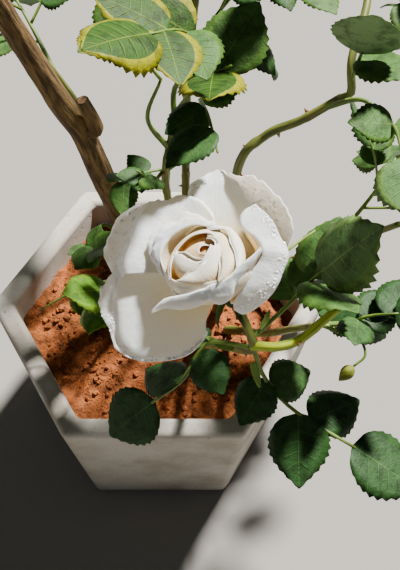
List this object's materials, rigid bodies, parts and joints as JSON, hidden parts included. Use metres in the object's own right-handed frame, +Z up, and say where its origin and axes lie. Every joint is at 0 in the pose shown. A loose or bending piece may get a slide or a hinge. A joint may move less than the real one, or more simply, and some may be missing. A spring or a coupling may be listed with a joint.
{
  "type": "potted rose bush",
  "caption": "Young rose bush with one large open bloom and leafy canes, in a thick-walled hexagonal cement pot filled with soil.",
  "frame": {"origin": "centre of the pot's flat underside", "axes": "+Z up along the pot's axis, +X through a corner of the hexagon, -Y towards the viewer's side"},
  "size_m": [0.4559, 0.3968, 0.5467],
  "materials": {
    "painted_cement": "matt white paint on cast cement, worn and dusty",
    "soil": "loose moist reddish soil",
    "bark": "rough brown bark with fissures",
    "green_stem": "smooth olive green cane",
    "young_stem": "smooth bright green shoot",
    "foliage": "leathery green leaf",
    "petals": "velvety creamy white petal"
  },
  "bodies": {
    "root": {"pot": "painted_cement", "soil": "soil", "trunk": "bark", "flower_cane": "green_stem", "olive_cane": "green_stem", "middle_cane": "green_stem", "right_cane": "green_stem", "back_cane": "green_stem", "back_left_cane": "green_stem", "side_cane": "green_stem", "pruned_shoot": "young_stem", "upper_bough": "green_stem", "left_bough": "green_stem", "high_right_bough": "green_stem", "front_spray": "foliage", "left_spray": "foliage", "right_spray": "foliage", "right_shoot": "foliage", "olive_top_shoot": "foliage", "olive_side_shoot": "foliage", "middle_top_shoot": "foliage", "middle_side_shoot": "foliage", "middle_right_shoot": "foliage", "middle_low_shoot": "foliage", "sprout": "foliage", "low_left_shoot": "foliage", "upper_shoot": "foliage", "upper_side_shoot": "foliage", "left_shoot": "foliage", "left_low_shoot": "foliage", "back_top_shoot": "foliage", "back_side_shoot": "foliage", "back_low_shoot": "foliage", "high_right_shoot": "foliage", "high_right_side_shoot": "foliage", "side_top_shoot": "foliage", "side_low_shoot": "foliage", "back_left_top_shoot": "foliage", "back_left_side_shoot": "foliage", "calyx": "green_stem", "bloom": "petals"}
  },
  "joints": []
}
